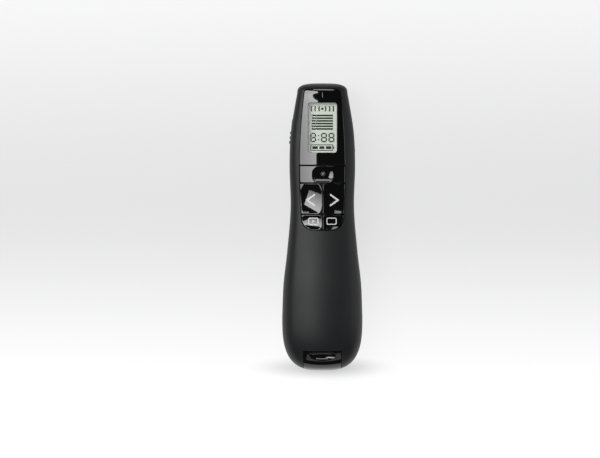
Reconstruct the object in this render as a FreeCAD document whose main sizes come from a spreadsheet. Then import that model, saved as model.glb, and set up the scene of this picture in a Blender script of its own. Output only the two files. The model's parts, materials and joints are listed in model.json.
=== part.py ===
"""Wireless presentation clicker: two moulded halves, a glossy key field, a display and a docked receiver.

Lengths are in millimetres. While it is modelled, X is to the right, Y to the laser end and Z out of the
key face. One shared placement at the end lays the clicker on its back, on its hip and its head heel.
"""
import math
import os
import re

import FreeCAD
import Part
import Sketcher
from FreeCAD import Placement, Rotation, Vector

os.makedirs("parts", exist_ok=True)
doc = FreeCAD.newDocument("clicker")

SIZES = {
    # the whole body
    "length": 132.5,
    "parting": 12.0,
    "wall": 2.4,
    "lip": 1.0,
    "tail_depth": 24.9,
    "head_depth": 4.8,
    "crown_radius": 34.0,
    "belly_radius": 30.0,
    "rest_tilt": 2.3,
    "rest_flat": 0.25,
    "fit": 0.1,
    "slide_gap": 0.2,
    # the glossy field in the face, with its panel, window and keys
    "field_half": 10.7,
    "field_middle": 29.0,
    "field_top": 63.7,
    "field_top_half": 8.3,
    "field_end": -1.8,
    "field_end_half": 9.3,
    "field_skin": 1.6,
    "field_corner": 1.6,
    "field_end_corner": 5.6,
    "panel_end": 28.1,
    "window_half": 6.6,
    "window_low": 34.0,
    "window_high": 56.9,
    "window_corner": 1.1,
    "laser_key_end": 20.0,
    "pair_key_end": 5.65,
    "key_gap": 0.2,
    "key_travel": 0.35,
    "key_foot": 20.2,
    "laser_dish": 13.0,
    "pair_dish": 17.0,
    # the board and what it carries
    "board_low": 16.6,
    "board_thick": 1.0,
    "board_half": 9.0,
    "board_tail": -2.2,
    "board_head": 59.5,
    "switch_side": 4.5,
    "plunger_radius": 1.1,
    "pair_x": 5.2,
    "laser_key_y": 24.1,
    "pair_key_y": 12.8,
    "small_key_y": 2.0,
    "glass_half": 7.4,
    "glass_low": 32.8,
    "glass_high": 58.1,
    "glass_thick": 1.3,
    "light_thick": 0.5,
    # side controls, set out from a point on each flank
    "side_x": 14.36,
    "side_y": 43.9,
    "side_angle": 5.6,
    "side_z": 14.4,
    "knob_long": 11.1,
    "knob_high": 3.4,
    "knob_proud": 0.3,
    "knob_travel": 3.0,
    "rib_pitch": 2.2,
    "timer_pitch": 5.0,
    "timer_long": 4.0,
    "timer_travel": 0.4,
    # laser and vibration motor
    "barrel_radius": 2.6,
    "barrel_bore": 2.0,
    "barrel_tail": 49.0,
    "barrel_head": 63.7,
    "motor_x": 4.6,
    "motor_y": 33.0,
    "motor_radius": 2.0,
    "motor_long": 8.0,
    # batteries and their door
    "cell_radius": 5.25,
    "cell_long": 44.5,
    "cell_x": 5.6,
    "cell_z": 10.1,
    "cell_tail": -55.5,
    "nub": 1.0,
    "bay_room": 2.4,
    "door_half": 11.6,
    "door_head": -2.0,
    "door_skin": 1.8,
    "door_top": 9.5,
    "rail_low": 7.0,
    "rail_high": 7.8,
    # receiver in its dock
    "stick_half": 8.6,
    "stick_low": 16.65,
    "stick_high": 23.6,
    "stick_head": -37.0,
    "stick_grip": -57.0,
    "plug_half": 6.0,
    "plug_high": 4.5,
    "plug_z": 19.3,
    "plug_long": 18.75,
    # screws
    "screw_radius": 0.8,
    "screw_head": 1.4,
    "tail_screw_x": 4.5,
    "tail_screw_y": -60.7,
    "bay_screw_y": -4.9,
    "boss_radius": 2.4,
    "tray_thick": 1.0,
    "tray_head": -17.0,
}

# where the moulded form is measured: distance from the tail end, half width, top, rise of the belly
# above the resting line, and radius of the rounded edges
STATIONS = {
    "hip": (24.9, 18.54, 26.4, 0.0, 8.5),
    "thigh": (40.0, 17.93, 26.0, 0.15, 8.2),
    "flank": (54.3, 16.3, 25.1, 0.3, 7.0),
    "waist": (74.7, 14.66, 24.3, 1.7, 5.8),
    "chest": (95.3, 15.15, 23.95, 1.3, 5.2),
    "heel": (110.0, 14.5, 23.7, 0.0, 4.7),
    "brow": (123.5, 12.4, 23.3, 0.4, 4.2),
    "nose": (127.7, 11.6, 23.0, 0.9, 4.0),
}
COLUMNS = ("at", "half", "top", "rise", "edge")


def make_sheet():
    """Put every named value in a sheet, so that a size is changed in one place."""
    sheet = doc.addObject("Spreadsheet::Sheet", "Sizes")
    rows = dict(SIZES)
    for name, values in STATIONS.items():
        for column, value in zip(COLUMNS, values):
            rows[f"{name}_{column}"] = value
    for row, (alias, value) in enumerate(rows.items(), start=1):
        sheet.set(f"A{row}", alias)
        sheet.set(f"B{row}", str(value))
        sheet.setAlias(f"B{row}", alias)
    doc.recompute()
    return sheet


sheet = make_sheet()
nodes = {}


def size(alias):
    return float(sheet.get(alias))


def linked(expression):
    """Turn a formula in plain size names into one that the document can follow."""
    return re.sub(r"[a-z]+(?:_[a-z]+)*", lambda m: m[0] if m[0] in ("sin", "cos", "tan") else f"Sizes.{m[0]}",
                  str(expression))


def drive(item, **formulas):
    for path, formula in formulas.items():
        item.setExpression(path.replace("__", "."), linked(formula))
    return item


def block(x, y, z, wide, deep, high):
    """A box centred on x and y that stands on z."""
    item = doc.addObject("Part::Box", "block")
    drive(item, Length=wide, Width=deep, Height=high)
    return drive(item, Placement__Base__x=f"({x})-({wide})/2", Placement__Base__y=f"({y})-({deep})/2",
                 Placement__Base__z=z)


def slab(left, right, tail, head, low, high):
    """A box given by its limits along each axis."""
    item = doc.addObject("Part::Box", "slab")
    drive(item, Length=f"({right})-({left})", Width=f"({head})-({tail})", Height=f"({high})-({low})")
    return drive(item, Placement__Base__x=left, Placement__Base__y=tail, Placement__Base__z=low)


def rod(x, y, z, radius, long, along="z"):
    """A cylinder that starts at a point and runs along one axis."""
    item = doc.addObject("Part::Cylinder", "rod")
    turns = {"z": Rotation(), "y": Rotation(Vector(1, 0, 0), -90), "x": Rotation(Vector(0, 1, 0), 90)}
    item.Placement = Placement(Vector(), turns[along])
    drive(item, Radius=radius, Height=long)
    return drive(item, Placement__Base__x=x, Placement__Base__y=y, Placement__Base__z=z)


def join(*items):
    if len(items) == 1:
        return items[0]
    item = doc.addObject("Part::MultiFuse", "join")
    item.Shapes = list(items)
    return item


def cut(base, *tools):
    item = doc.addObject("Part::Cut", "cut")
    item.Base = base
    item.Tool = join(*tools)
    return item


def common(*items):
    item = doc.addObject("Part::MultiCommon", "common")
    item.Shapes = list(items)
    return item


def node(name, *items):
    """Name a finished piece. Several items stay separate solids of one group."""
    item = doc.addObject("Part::Compound", name)
    item.Links = list(items)
    item.Label = name
    nodes[name] = item
    return item


def turned(item, side):
    """Carry an item from a control's own frame (X outward, Y along) to a flank; side is -1 left, 1 right."""
    holder = doc.addObject("Part::Compound", "flank")
    holder.Links = [item]
    spin = Rotation(Vector(0, 0, 1), size("side_angle"))
    if side < 0:
        spin = Rotation(Vector(0, 0, 1), 180 - size("side_angle"))
    holder.Placement = Placement(Vector(side * size("side_x"), size("side_y"), 0), spin)
    return holder


# the moulded form

def floor_at(y):
    """Height of the resting line, which touches the hip and climbs to the heel."""
    return math.tan(math.radians(size("rest_tilt"))) * (y - size("hip_at") + size("length") / 2)


def measured(distance, column):
    """A size of the form at a distance from the tail end, on a smooth curve through the stations."""
    at = [size(f"{name}_at") for name in STATIONS]
    value = [size(f"{name}_{column}") for name in STATIONS]
    last = len(at) - 1
    i = max(0, min(last - 1, sum(distance > a for a in at[1:])))

    def slope(k):
        low, high = max(k - 1, 0), min(k + 1, last)
        return (value[high] - value[low]) / (at[high] - at[low])

    span = at[i + 1] - at[i]
    t = (distance - at[i]) / span
    return ((1 + 2 * t) * (1 - t) ** 2 * value[i] + t * (1 - t) ** 2 * span * slope(i)
            + t * t * (3 - 2 * t) * value[i + 1] + t * t * (t - 1) * span * slope(i + 1))


def closing(distance, depth, blunt=0.25):
    """How far the form has opened at a distance from its end, on a rounded end of a given depth."""
    left = max(0.0, 1 - (distance + blunt) / (depth + blunt))
    return (1 - left ** 3) ** (1 / 3)


def ring(y, distance, inset, scale, plain):
    """One cross section: two flanks, four rounded edges, a crown and a belly."""
    middle = size("parting")
    half = (measured(distance, "half") - inset) * scale
    top = middle + (measured(distance, "top") - inset - middle) * scale
    low = floor_at(distance - size("length") / 2) + measured(distance, "rise") + inset
    low = middle - (middle - low) * scale
    edge = (measured(distance, "edge") - inset) * scale
    crown = (size("crown_radius") - inset) * scale
    belly = (size("belly_radius") - inset) * scale
    centre = half - edge
    upper = top - crown + math.sqrt((crown - edge) ** 2 - centre ** 2)
    lower = low + belly - math.sqrt((belly - edge) ** 2 - centre ** 2)

    def corner(radius, height, side):
        lean = math.acos(centre / (radius - edge))
        return [Vector(centre + edge * math.cos(a), y, height + side * edge * math.sin(a)) for a in (lean / 2, lean)]

    def mirror(p):
        return Vector(-p.x, p.y, p.z)

    bend, shoulder = corner(crown, upper, 1)
    knee, foot = corner(belly, lower, -1)
    flank, base = Vector(half, y, upper), Vector(half, y, lower)
    path = [base, flank, bend, shoulder, Vector(0, y, top), mirror(shoulder), mirror(bend), mirror(flank),
            mirror(base), mirror(knee), mirror(foot), Vector(0, y, low), foot, knee, base]
    if plain:
        return Part.makePolygon(path)
    edges = [Part.makeLine(path[0], path[1]), Part.Arc(*path[1:4]).toShape(), Part.Arc(*path[3:6]).toShape(),
             Part.Arc(*path[5:8]).toShape(), Part.makeLine(path[7], path[8]), Part.Arc(*path[8:11]).toShape(),
             Part.Arc(*path[10:13]).toShape(), Part.Arc(*path[12:15]).toShape()]
    return Part.Wire(edges)


def form(inset=0.0, plain=True):
    """The moulded form, moved inward by an inset. The plain one has flat faces, for inner walls."""
    tail, head, length = size("tail_depth"), size("head_depth"), size("length")
    opening = (0.0, 0.05, 0.16, 0.36, 0.64) if not plain else (0.0, 0.1, 0.36)
    steps = 9 if not plain else 6
    rows = []
    for share in opening:
        d = share * tail
        rows.append((d * (tail - inset) / tail + inset, size("hip_at"), closing(d, tail)))
    first, last = size("hip_at"), size("nose_at")
    for i in range(steps + 1):
        d = first + (last - first) * i / steps
        rows.append((d, d, 1.0))
    for share in ((0.55, 0.2, 0.0) if not plain else (0.3, 0.0)):
        d = share * head
        rows.append((length - d * (head - inset) / head - inset, min(length - d, size("nose_at")), closing(d, head)))
    sections = []
    for distance, measure, scale in rows:
        section = doc.addObject("Part::Feature", "ring")
        section.Shape = ring(distance - length / 2, measure, inset, scale, plain)
        sections.append(section)
    loft = doc.addObject("Part::Loft", "form")
    loft.Sections = sections
    loft.Solid = True
    loft.Ruled = True
    return loft


def field(inset):
    """The outline of the glossy field as a tall block, drawn as a sketch with arched sides."""
    def at(x, y):
        return Vector(x, y, 0)

    top, low, middle = size("field_top") - inset, size("field_end") + inset, size("field_middle")
    upper, wide, lower = size("field_top_half") - inset, size("field_half") - inset, size("field_end_half") - inset
    rise = 0.45
    sketch = doc.addObject("Sketcher::SketchObject", "field_outline")
    sketch.addGeometry(Part.Arc(at(upper, top - rise), at(0, top), at(-upper, top - rise)))
    sketch.addGeometry(Part.Arc(at(-upper, top - rise), at(-wide, middle), at(-lower, low)))
    sketch.addGeometry(Part.LineSegment(at(-lower, low), at(lower, low)))
    sketch.addGeometry(Part.Arc(at(lower, low), at(wide, middle), at(upper, top - rise)))
    for i in range(4):
        sketch.addConstraint(Sketcher.Constraint("Coincident", i, 2, (i + 1) % 4, 1))
    solid = doc.addObject("Part::Extrusion", "field_block")
    solid.Base = sketch
    solid.DirMode = "Custom"
    solid.Dir = Vector(0, 0, 1)
    solid.LengthFwd = 40
    solid.Solid = True
    doc.recompute()
    corners = doc.addObject("Part::Fillet", "field")
    corners.Base = solid
    upright = [(i, e) for i, e in enumerate(solid.Shape.Edges, start=1) if e.BoundBox.ZLength > 39]
    corners.Edges = [(i, *2 * (size("field_corner" if e.BoundBox.YMin > middle else "field_end_corner"),))
                     for i, e in upright]
    return corners


def window(inset):
    """The display window's outline as a tall block with rounded corners."""
    grow = f"({inset})"
    item = slab(f"{grow}-window_half", f"window_half-{grow}", f"window_low+{grow}", f"window_high-{grow}", 10, 40)
    doc.recompute()
    corners = doc.addObject("Part::Fillet", "window")
    corners.Base = item
    corners.Edges = [(i, *2 * (size("window_corner"),)) for i, e in enumerate(item.Shape.Edges, start=1)
                     if e.BoundBox.ZLength > 20]
    return corners


outer = form(0.0, plain=False)
hollow = form(size("wall"))
under_skin = form(size("field_skin"))
lip_outside = form(size("wall") - size("lip"))
lip_groove = form(size("wall") - size("lip") - size("fit"))
door_inside = form(size("door_skin"))
door_clear = form(size("door_skin") + size("fit"))
tab_top = form(size("wall") + size("fit"))
key_floor = form(size("wall") + 0.6)
pocket = field(0.0)
field_block = field(size("fit"))
key_block = field(size("key_gap"))
everywhere = ("-30", "30", "-80", "80")


def side_openings():
    """The slot for the power knob in the left flank and the three timer key holes in the right one."""
    slot = slab("-6", "3", "-knob_long/2-0.2", "knob_long/2+knob_travel+0.2",
                "side_z-knob_high/2-0.15", "side_z+knob_high/2+0.15")
    holes = [slab("-6", "3", f"{i}*timer_pitch-2-timer_long/2-0.15", f"{i}*timer_pitch-2+timer_long/2+0.15",
                  "side_z-1.65", "side_z+1.65") for i in (-1, 0, 1)]
    return [turned(slot, -1), turned(join(*holes), 1)]


def laser_bore():
    return join(rod(0, "barrel_head-8", "parting", "barrel_radius-0.2", 20, "y"),
                rod(0, "barrel_head-8", "parting", "barrel_radius", 8, "y"))


def dock_space():
    """The notch in the tail and the tunnel behind it, where the receiver slides in."""
    gap = "slide_gap"
    notch = slab(f"-stick_half-{gap}", f"stick_half+{gap}", "-80", f"stick_grip+{gap}", f"stick_low-{gap}", 40)
    tunnel = slab(f"-stick_half-{gap}", f"stick_half+{gap}", "-80", f"stick_head+{gap}",
                  f"stick_low-{gap}", f"stick_high+{gap}")
    return [notch, tunnel]


def make_top_shell():
    upper = common(outer, slab(*everywhere, "parting", 40))
    groove = common(lip_groove, slab(*everywhere, "parting-1", "parting+lip+fit"))
    recess = cut(common(pocket, slab(*everywhere, "parting", 40)), under_skin)
    keys = common(pocket, slab("-20", "20", "-20", "panel_end", "parting", 40))
    sight = slab("-window_half-0.6", "window_half+0.6", "window_low-0.6", "window_high+0.6", "parting", 40)
    shell = cut(upper, hollow, groove, recess, keys, sight, laser_bore(), *side_openings(), *dock_space())
    boss = common(rod(0, "bay_screw_y", "rail_high+1.2", "boss_radius", 20), under_skin)
    return node("top_shell", join(shell, cut(boss, screw_hole(0, "bay_screw_y"))))


def screw_hole(x, y, room=0.0):
    return rod(x, y, 0, f"screw_radius+{room}", 14)


def make_bottom_shell():
    lower = common(outer, slab(*everywhere, -10, "parting"))
    lip = cut(common(lip_outside, slab(*everywhere, "parting-2", "parting+lip")), hollow)
    doorway = common(slab("-door_half-fit", "door_half+fit", -80, "door_head+fit", -10, "door_top+fit"), outer)
    shell = cut(join(cut(lower, hollow), lip), doorway)
    shelf = common(slab(*everywhere, "rail_high+0.3", "rail_high+1.2"), outer)
    well = slab("-cell_x-cell_radius-0.25", "cell_x+cell_radius+0.25", "cell_tail-bay_room",
                "cell_tail+cell_long+bay_room", 0, 40)
    ribs = common(slab("-cell_x-cell_radius-1.3", "cell_x+cell_radius+1.3", "cell_tail-bay_room-1.2",
                       "cell_tail+cell_long+bay_room+1.2", "rail_high+0.3", "parting+1.5"), hollow)
    limit = slab(*everywhere[:2], "cell_tail-bay_room-6", "bay_screw_y+3.2", 0, 40)
    inside_door = slab("-door_half-fit", "door_half+fit", -80, "cell_tail", -10, "door_top+fit")
    bay = cut(cut(common(join(shelf, ribs), limit), well), cut(inside_door, door_clear))
    rings = [slab("-3.6", "3.6", y, y + 2, 0, "board_low") for y in (52, 57)]
    cradle = cut(common(join(*rings), outer), rod(0, 40, "parting", "barrel_radius", 40, "y"))
    sill = common(slab("-door_half-2", "door_half+2", "door_head+fit", "door_head+2", 0, "rail_high+0.3"), outer)
    grooves = [slab(f"{a}", f"{b}", -80, -50, "rail_low-0.2", "rail_high+0.2")
               for a, b in (("door_half-0.2", "door_half+1.35"), ("-door_half-1.35", "0.2-door_half"))]
    holes = [screw_hole(0, "bay_screw_y", 0.15)]
    holes += [screw_hole(x, "tail_screw_y", 0.15) for x in ("tail_screw_x", "-tail_screw_x")]
    whole = cut(join(shell, bay, cradle, sill), laser_bore(), *grooves, *holes, rest_cutter(), *lower_side_openings())
    return node("bottom_shell", whole)


def lower_side_openings():
    """The knob and the timer keys clear the lip of the lower half."""
    left = slab("-6", "-1", "-knob_long/2-3.4", "knob_long/2+knob_travel+3.4", "parting-0.3", "side_z+4")
    right = slab("-6", "-1", "-timer_pitch*1.5-3.2", "timer_pitch*1.5-0.8", "parting-0.3", "side_z+4")
    return [turned(left, -1), turned(right, 1)]


def rest_cutter():
    """A block whose top is the floor, just above the form's lowest points, so that they come out flat."""
    item = doc.addObject("Part::Box", "floor")
    drive(item, Length=80, Width=200, Height=10)
    lean = size("rest_tilt")
    hip = size("hip_at") - size("length") / 2
    lift = size("rest_flat") - 10
    spin = Rotation(Vector(1, 0, 0), lean)
    item.Placement = Placement(Vector(0, hip, 0) + spin.multVec(Vector(-40, -100, lift)), spin)
    return item


def make_battery_door():
    skin = cut(common(outer, slab("-door_half", "door_half", -80, "door_head", -10, "door_top")), door_inside)
    rails = []
    for side in (1, -1):
        web = slab(*sorted_pair(side, "door_half-0.8", "door_half-0.1"), -52, -24, 2, "rail_high")
        flange = slab(*sorted_pair(side, "door_half-0.8", "door_half+1.1"), -52, -24, "rail_low", "rail_high")
        rails += [common(join(web, flange), outer)]
    grips = [slab(-7, 7, f"-15-{i}*2.2", f"-14-{i}*2.2", -10, floor_level(-15) + 0.5) for i in range(3)]
    passing = [rod(x, "cell_tail+cell_long-6", "cell_z", "cell_radius+slide_gap", 30, "y") for x in ("cell_x", "-cell_x")]
    return node("battery_door", cut(join(skin, *rails), rest_cutter(), *grips, *passing))


def floor_level(y):
    """Height of the belly's lowest line at a place along the body."""
    return floor_at(y) + measured(y + size("length") / 2, "rise")


def sorted_pair(side, near, far):
    return (near, far) if side > 0 else (f"-({far})", f"-({near})")


def make_face_panel():
    skin = cut(common(field_block, slab("-20", "20", "panel_end+key_gap/2", 80, "parting", 40), outer), under_skin)
    return node("face_panel", cut(skin, window(0)))


def make_display_window():
    return node("display_window", cut(common(window(0), outer), under_skin))


def key_cap(left, right, tail, head, foot, dish, tabs):
    """A key: a slice of the form's skin with a foot over its switch and tabs that hold it under the flanks."""
    x, y = foot
    top = common(key_block, slab(left, right, tail, head, "parting", 40), outer)
    ears = [common(slab(*sorted_pair(side, "field_end_half-1.2", "field_end_half+1.6"), f"{y}-1.6", f"{y}+1.6",
                        "parting", 40), tab_top) for side in tabs]
    stem = common(rod(x, y, "key_foot", 1.5, 3), under_skin)
    return join(cut(join(top, *ears), key_floor, dish), stem)


def make_keys():
    gap = "key_gap/2"
    dish = "laser_dish"
    scoop = rod(0, 0, f"24.05+{dish}-0.75", dish, 40, "y")
    node("laser_key", key_cap("-20", "20", f"laser_key_end+{gap}", f"panel_end-{gap}", ("0", "laser_key_y"), scoop, (-1, 1)))
    for name, side in (("back_key", -1), ("forward_key", 1)):
        trough = rod(f"{side}*pair_x", -10, "24.15+pair_dish-0.85", "pair_dish", 40, "y")
        node(name, key_cap(*sorted_pair(side, gap, "20"), f"pair_key_end+{gap}", f"laser_key_end-{gap}",
                           (f"{side}*pair_x", "pair_key_y"), trough, (side,)))
    for name, side in (("slideshow_key", -1), ("blank_key", 1)):
        trough = rod(f"{side}*pair_x", -20, "24.3+pair_dish-0.8", "pair_dish", 40, "y")
        node(name, key_cap(*sorted_pair(side, gap, "20"), "field_end", f"pair_key_end-{gap}",
                           (f"{side}*pair_x", "small_key_y"), trough, (side,)))


SWITCHES = {"laser": ("0", "laser_key_y"), "back": ("-pair_x", "pair_key_y"), "forward": ("pair_x", "pair_key_y"),
            "slideshow": ("-pair_x", "small_key_y"), "blank": ("pair_x", "small_key_y")}


def make_board():
    top = "board_low+board_thick"
    board = slab("-board_half", "board_half", "board_tail", "board_head", "board_low", top)
    node("main_board", board)
    bodies = []
    for name, (x, y) in SWITCHES.items():
        body = block(x, y, top, "switch_side", "switch_side", "key_foot-key_travel-0.35-board_low-board_thick")
        bodies.append(cut(body, rod(x, y, f"{top}+0.6", "plunger_radius+0.05", 10)))
        node(f"{name}_plunger", rod(x, y, f"{top}+1.2", "plunger_radius", "key_foot-board_low-board_thick-1.2"))
    node("key_switches", *bodies)
    node("lcd_light", slab("-glass_half", "glass_half", "glass_low", "glass_high", top, f"{top}+light_thick"))
    node("lcd_glass", slab("-glass_half", "glass_half", "glass_low", "glass_high", f"{top}+light_thick",
                           f"{top}+light_thick+glass_thick"))
    node("radio_chip", block("-4.5", 12, "board_low-1", 5, 5, 1))
    node("crystal", block("-4.5", 20, "board_low-0.9", 3.2, 5, 0.9))


def make_motor():
    z = "board_low-motor_radius"
    case = rod("motor_x", "motor_y", z, "motor_radius", "motor_long", "y")
    node("vibration_motor", cut(case, rod("motor_x", "motor_y+1", z, 0.45, "motor_long", "y")))
    weight = common(rod("motor_x", "motor_y+motor_long+0.3", z, "motor_radius-0.15", 2.6, "y"),
                    slab("motor_x-3", "motor_x+3", 0, 80, 0, "board_low-motor_radius+0.35"))
    shaft = rod("motor_x", "motor_y+2", z, 0.4, "motor_long+0.9", "y")
    node("vibration_weight", join(weight, shaft))


def make_side_controls():
    """The power slide on the left flank and three timer keys on the right one, with their switches."""
    deep = "-3.9"
    lever = slab("-5.9", deep, "-1", "1", "side_z-0.8", "side_z+0.8")
    frame = cut(slab("-7.6", "-4.05", "-4.2", "7.2", "side_z-2.1", "board_low"),
                slab("-6.1", "-3", "-1.2", "knob_travel+1.2", "side_z-1", "side_z+1"))
    knob = join(slab("-3.4", "knob_proud-0.15", "-knob_long/2", "knob_long/2", "side_z-knob_high/2", "side_z+knob_high/2"),
                slab(deep, "-3.1", "-knob_long/2-1.4", "knob_long/2+1.4", "parting+0.2", "board_low-0.1"))
    ribs = [slab("0", "knob_proud+0.15", f"{i}*rib_pitch", f"{i}*rib_pitch+1", "side_z-knob_high/2", "side_z+knob_high/2")
            for i in (0, 1, 2)]
    node("power_knob", turned(join(knob, *ribs), -1))
    node("power_switch_lever", turned(lever, -1))
    node("power_switch_frame", turned(frame, -1))
    bodies = []
    for name, i in (("timer_down_key", -1), ("timer_start_key", 0), ("timer_up_key", 1)):
        mid = f"({i}*timer_pitch-2)"
        cap = join(slab("-3.4", "-0.05", f"{mid}-timer_long/2", f"{mid}+timer_long/2", "side_z-1.5", "side_z+1.5"),
                   slab("-3.7", "-3.2", f"{mid}-timer_long/2-0.35", f"{mid}+timer_long/2+0.35", "side_z-2", "side_z+2"))
        node(name, turned(cap, 1))
        node(name.replace("key", "plunger"), turned(slab("-5", "-3.7", f"{mid}-0.6", f"{mid}+0.6", "side_z-0.6", "side_z+0.6"), 1))
        bodies.append(cut(slab("-6.6", "-4.25", f"{mid}-2", f"{mid}+2", "side_z-1.6", "board_low"),
                          slab("-5.6", "-3", f"{mid}-0.7", f"{mid}+0.7", "side_z-0.7", "side_z+0.7")))
    node("timer_switches", *[turned(b, 1) for b in bodies])


def make_laser():
    bore = rod(0, "barrel_tail-1", "parting", "barrel_bore", 40, "y")
    node("laser_barrel", cut(rod(0, "barrel_tail", "parting", "barrel_radius", "barrel_head-barrel_tail", "y"), bore))
    node("laser_diode", rod(0, "barrel_tail-0.8", "parting", "barrel_bore", 3.6, "y"))
    lens = common(rod(0, "barrel_head-4", "parting", "barrel_bore", 2.2, "y"), ball(0, "barrel_head-4-1.4", "parting", 3.4))
    node("laser_lens", lens)
    node("laser_window", rod(0, "barrel_head", "parting", "barrel_radius-0.25", "length/2-barrel_head-0.15", "y"))


def ball(x, y, z, radius):
    item = doc.addObject("Part::Sphere", "ball")
    return drive(item, Radius=radius, Placement__Base__x=x, Placement__Base__y=y, Placement__Base__z=z)


def make_batteries():
    head = "cell_tail+cell_long"
    for name, side, body_at, nub_at in (("battery_left", -1, "cell_tail", f"{head}-nub"),
                                        ("battery_right", 1, "cell_tail+nub", "cell_tail")):
        x = f"{side}*cell_x"
        body = rod(x, body_at, "cell_z", "cell_radius", "cell_long-nub", "y")
        node(name, join(body, rod(x, nub_at, "cell_z", 1.9, "nub", "y")))
    springs, plates = [], []
    for side, back, way in ((-1, "cell_tail-bay_room", 1), (1, f"{head}+bay_room", -1)):
        springs.append(leaf(f"{side}*cell_x", back, way))
        front = f"{head}+bay_room" if way > 0 else "cell_tail-bay_room"
        flat = slab(f"{side}*cell_x-3.6", f"{side}*cell_x+3.6", *between(front, f"({front})-({way})*0.4"), "cell_z-2", "cell_z+4.5")
        dimple = rod(f"{side}*cell_x", f"({front})-{1 if way > 0 else 0}*bay_room", "cell_z", 2, "bay_room", "y")
        plates.append(join(flat, dimple))
    node("battery_springs", *springs)
    node("battery_plates", *plates)


def between(a, b):
    """Two limits in rising order, for limits that swap ends with the cell's direction."""
    return (a, b) if evaluate(a) < evaluate(b) else (b, a)


def evaluate(formula):
    probe = doc.addObject("App::FeaturePython", "probe")
    probe.addProperty("App::PropertyFloat", "Value")
    probe.setExpression("Value", linked(formula))
    doc.recompute()
    value = probe.Value
    doc.removeObject(probe.Name)
    return value


def leaf(x, back, way):
    """A bent strip that presses on a cell's flat end."""
    start, room = evaluate(back), size("bay_room")
    z = size("cell_z")
    path = [(0, -2), (0, 4.5), (0.4, 4.5), (0.4, 3.6), (room, 0.4), (0.9, -2.4), (0.5, -2.2), (room - 0.55, 0.4), (0.4, 2.9), (0.4, -2)]
    wire = Part.makePolygon([Vector(0, start + way * a, z + b) for a, b in path + path[:1]])
    face = doc.addObject("Part::Feature", "strip_side")
    face.Shape = Part.Face(wire)
    strip = doc.addObject("Part::Extrusion", "strip")
    strip.Base = face
    strip.DirMode = "Custom"
    strip.Dir = Vector(1, 0, 0)
    strip.LengthFwd = 6
    holder = doc.addObject("Part::Compound", "leaf")
    holder.Links = [strip]
    return drive(holder, Placement__Base__x=f"({x})-3")


def make_receiver():
    """The stick that plugs into a computer, parked in the tail with its grip end flush with the form."""
    body = slab("-stick_half", "stick_half", -80, "stick_head", "stick_low", "stick_high")
    grip = slab("-stick_half", "stick_half", -80, "stick_grip", "stick_low", 40)
    scoop = rod(-7.2, -59.2, 26.0, 2.6, 14.4, "x")
    inside = slab("1.2-stick_half", "stick_half-1.2", "-60", "stick_head-1.2", "stick_low+1.2", "stick_high-1.2")
    mid = "plug_z"
    plug = slab("-plug_half", "plug_half", "stick_head-4", "stick_head+plug_long", f"{mid}-plug_high/2", f"{mid}+plug_high/2")
    node("receiver_shell", cut(common(join(body, grip), outer), scoop, inside, plug))
    hollow_plug = slab("0.3-plug_half", "plug_half-0.3", "stick_head-5", 0, f"{mid}-plug_high/2+0.3", f"{mid}+plug_high/2-0.3")
    node("receiver_plug", cut(plug, hollow_plug))
    node("receiver_tongue", slab("0.3-plug_half", "plug_half-0.3", "stick_head-3", "stick_head+plug_long-0.8",
                                 f"{mid}+0.1", f"{mid}+plug_high/2-0.3"))
    board = join(slab("1.2-stick_half", "stick_half-1.2", "-58", "stick_head-4", f"{mid}-0.9", f"{mid}+0.1"),
                 slab("0.3-plug_half", "plug_half-0.3", "stick_head-4", "stick_head+8", f"{mid}-0.9", f"{mid}+0.1"))
    node("receiver_board", board)


def make_dock_tray():
    """The tray over the batteries that the receiver slides on, with the bosses of the two tail screws."""
    top = "stick_low-slide_gap"
    low = f"{top}-tray_thick"
    floor = common(slab(*everywhere[:2], "-70", "tray_head", low, top), hollow)
    walls = common(slab("-10.2", "10.2", "stick_grip+2", "tray_head", low, 21), hollow)
    room = slab("-stick_half-slide_gap", "stick_half+slide_gap", "-80", "stick_head+slide_gap", top, 40)
    plug_room = slab("-plug_half-0.3", "plug_half+0.3", "-80", "0", top, 40)
    tray = cut(join(floor, walls), room, plug_room)
    bosses = []
    for x in ("tail_screw_x", "-tail_screw_x"):
        post = rod(x, "tail_screw_y", "rail_high+1.2", "boss_radius-0.8", f"{low}+tray_thick/2-rail_high-1.2")
        bosses.append(cut(common(post, hollow), screw_hole(x, "tail_screw_y")))
    return node("dock_tray", join(tray, *bosses))


def make_screws():
    screws = []
    for x, y, seat in ((0, "bay_screw_y", "rail_high+0.3"), ("tail_screw_x", "tail_screw_y", "rail_high+0.3"),
                       ("-tail_screw_x", "tail_screw_y", "rail_high+0.3")):
        head = rod(x, y, f"{seat}-1", "screw_head", 1)
        screws.append(join(head, rod(x, y, seat, "screw_radius-0.05", 5)))
    node("housing_screws", *screws)


make_top_shell()
make_bottom_shell()
make_battery_door()
make_face_panel()
make_display_window()
make_keys()
make_board()
make_motor()
make_side_controls()
make_laser()
make_batteries()
make_receiver()
make_dock_tray()
make_screws()

doc.recompute()
hip = size("hip_at") - size("length") / 2
spin = Rotation(Vector(1, 0, 0), -size("rest_tilt"))
lay = Placement(Vector(0, hip, 0), Rotation()) * Placement(Vector(), spin) * Placement(Vector(0, -hip, 0), Rotation())
probe = outer.Shape.copy()
probe.Placement = lay
limits = probe.BoundBox
shift = Vector(0, -(limits.YMin + limits.YMax) / 2, -size("rest_flat"))
rest = Placement(shift, Rotation()) * lay
for item in nodes.values():
    item.Placement = rest
doc.recompute()
for name, item in nodes.items():
    state = [s for s in item.State if s in ("Invalid", "Error")]
    shape = item.Shape
    if state or shape.isNull() or not shape.isValid() or not shape.Solids:
        raise RuntimeError(f"{name} is not a sound solid: {item.State}")
    shape.exportStep(f"parts/{name}.step")
print(len(nodes), "pieces, laid down by", rest)
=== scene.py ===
import functools
import json
import math

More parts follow.
